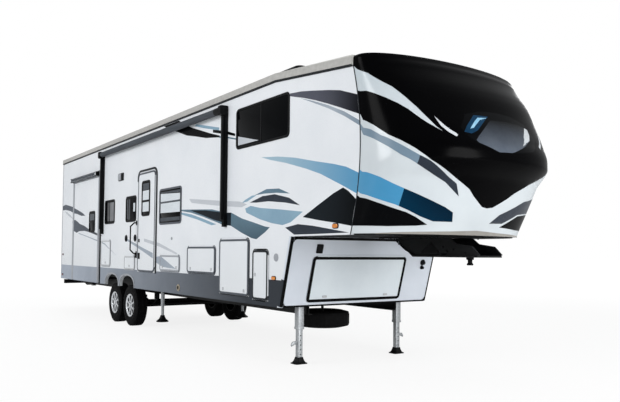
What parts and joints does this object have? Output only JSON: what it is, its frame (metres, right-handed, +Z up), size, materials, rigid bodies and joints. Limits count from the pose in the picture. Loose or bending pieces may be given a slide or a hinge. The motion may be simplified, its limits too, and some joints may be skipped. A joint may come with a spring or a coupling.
{
  "type": "fifth wheel trailer",
  "caption": "Long travel trailer with a raised front deck, wedge-shaped nose cap, pin box, tandem axles, slide-out rooms, doors that open and a rolled awning.",
  "frame": {"origin": "on the ground, under the middle of the whole trailer with its outside fittings", "axes": "+X forward to the nose, +Y to the left side, +Z up"},
  "size_m": [12.8004, 2.753, 4.1203],
  "materials": {
    "black_gelcoat": "high-gloss moulded gelcoat",
    "black_plastic": "satin black",
    "black_steel": "semi-gloss black paint",
    "cast_alloy": "machined and lacquered",
    "floor_board": "plywood deck",
    "polished_alloy": "polished tube",
    "red_lens": "clear red lens",
    "roof_membrane": "matt membrane",
    "silver_panel": "satin metallic paint",
    "tinted_glass": "dark tinted safety glass",
    "tyre_rubber": "matt black rubber",
    "white_panel": "gloss, smooth laminated panel",
    "zinc_steel": "zinc plated"
  },
  "bodies": {
    "trailer": {"awning_arm_front": "black_plastic", "awning_arm_rear": "black_plastic", "awning_roller": "black_plastic", "axle_front": "black_steel", "axle_rear": "black_steel", "chassis_frame": "black_steel", "entry_grab_handle": "black_plastic", "floor": "floor_board", "front_cap": "black_gelcoat", "front_lower_wall": "silver_panel", "kingpin": "zinc_steel", "landing_jack_left": "zinc_steel", "landing_jack_right": "zinc_steel", "pin_box": "black_steel", "rear_bumper": "black_steel", "rear_wall": "white_panel", "roof": "roof_membrane", "roof_air_conditioner": "black_plastic", "roof_ladder": "polished_alloy", "roof_vent": "black_plastic", "side_wall_left": "white_panel", "side_wall_right": "white_panel", "spare_tyre": "tyre_rubber", "stabiliser_left": "zinc_steel", "stabiliser_right": "zinc_steel", "tail_light_left": "red_lens", "tail_light_right": "red_lens", "upper_deck": "floor_board", "window_left_1": "tinted_glass", "window_left_2": "tinted_glass", "window_right_1": "tinted_glass", "window_right_2": "tinted_glass", "window_right_3": "tinted_glass", "window_right_4": "tinted_glass", "windscreen": "tinted_glass"},
    "baggage_door_left_1": {"baggage_door_left_1": "white_panel"},
    "baggage_door_left_2": {"baggage_door_left_2": "white_panel"},
    "baggage_door_right_1": {"baggage_door_right_1": "white_panel"},
    "baggage_door_right_2": {"baggage_door_right_2": "white_panel"},
    "baggage_door_right_3": {"baggage_door_right_3": "white_panel"},
    "baggage_door_right_4": {"baggage_door_right_4": "white_panel"},
    "baggage_door_right_5": {"baggage_door_right_5": "white_panel"},
    "baggage_door_right_6": {"baggage_door_right_6": "white_panel"},
    "entry_door": {"entry_door": "white_panel", "entry_door_window": "tinted_glass"},
    "front_storage_door": {"front_storage_door": "silver_panel"},
    "wheel_front_left": {"rim_front_left": "cast_alloy", "tyre_front_left": "tyre_rubber"},
    "wheel_front_right": {"rim_front_right": "cast_alloy", "tyre_front_right": "tyre_rubber"},
    "wheel_rear_left": {"rim_rear_left": "cast_alloy", "tyre_rear_left": "tyre_rubber"},
    "wheel_rear_right": {"rim_rear_right": "cast_alloy", "tyre_rear_right": "tyre_rubber"},
    "slide_out_left": {"slide_out_left": "white_panel", "slide_out_left_window": "tinted_glass"},
    "slide_out_right": {"slide_out_right": "white_panel", "slide_out_right_window": "tinted_glass"}
  },
  "joints": [
    {"name": "wheel_rear_right_spin", "type": "hinge", "parent": "trailer", "child": "wheel_rear_right", "pos_m": [-2.41875, -1.0685, 0.391], "axis": [0, 1, 0], "continuous": true},
    {"name": "wheel_rear_left_spin", "type": "hinge", "parent": "trailer", "child": "wheel_rear_left", "pos_m": [-2.41875, 1.0815, 0.391], "axis": [0, 1, 0], "continuous": true},
    {"name": "wheel_front_right_spin", "type": "hinge", "parent": "trailer", "child": "wheel_front_right", "pos_m": [-1.54875, -1.0685, 0.391], "axis": [0, 1, 0], "continuous": true},
    {"name": "wheel_front_left_spin", "type": "hinge", "parent": "trailer", "child": "wheel_front_left", "pos_m": [-1.54875, 1.0815, 0.391], "axis": [0, 1, 0], "continuous": true},
    {"name": "entry_door_hinge", "type": "hinge", "parent": "trailer", "child": "entry_door", "pos_m": [-0.15475, -1.2498, 1.955], "axis": [0, 0, 1], "range_deg": [0, 100]},
    {"name": "baggage_door_right_1_hinge", "type": "hinge", "parent": "trailer", "child": "baggage_door_right_1", "pos_m": [-2.82875, -1.2498, 1.654], "axis": [-1, 0, 0], "range_deg": [0, 90]},
    {"name": "baggage_door_right_2_hinge", "type": "hinge", "parent": "trailer", "child": "baggage_door_right_2", "pos_m": [-1.41375, -1.2498, 1.344], "axis": [-1, 0, 0], "range_deg": [0, 90]},
    {"name": "baggage_door_right_3_hinge", "type": "hinge", "parent": "trailer", "child": "baggage_door_right_3", "pos_m": [0.48625, -1.2498, 1.374], "axis": [-1, 0, 0], "range_deg": [0, 90]},
    {"name": "baggage_door_right_4_hinge", "type": "hinge", "parent": "trailer", "child": "baggage_door_right_4", "pos_m": [1.67125, -1.2498, 1.514], "axis": [-1, 0, 0], "range_deg": [0, 90]},
    {"name": "baggage_door_right_5_hinge", "type": "hinge", "parent": "trailer", "child": "baggage_door_right_5", "pos_m": [2.71125, -1.2498, 1.614], "axis": [-1, 0, 0], "range_deg": [0, 90]},
    {"name": "baggage_door_right_6_hinge", "type": "hinge", "parent": "trailer", "child": "baggage_door_right_6", "pos_m": [3.63525, -1.2498, 1.13], "axis": [0, 0, 1], "range_deg": [0, 110]},
    {"name": "baggage_door_left_1_hinge", "type": "hinge", "parent": "trailer", "child": "baggage_door_left_1", "pos_m": [3.16625, 1.2628, 1.594], "axis": [1, 0, 0], "range_deg": [0, 90]},
    {"name": "baggage_door_left_2_hinge", "type": "hinge", "parent": "trailer", "child": "baggage_door_left_2", "pos_m": [-2.41375, 1.2628, 1.464], "axis": [1, 0, 0], "range_deg": [0, 90]},
    {"name": "front_storage_door_hinge", "type": "hinge", "parent": "trailer", "child": "front_storage_door", "pos_m": [4.0915, -0.0785, 1.38662], "axis": [0, -1, 0], "range_deg": [0, 85]},
    {"name": "slide_out_right_travel", "type": "slide", "parent": "trailer", "child": "slide_out_right", "axis": [0, -1, 0], "range_m": [0, 0.8]},
    {"name": "slide_out_left_travel", "type": "slide", "parent": "trailer", "child": "slide_out_left", "axis": [0, 1, 0], "range_m": [0, 0.8]}
  ]
}
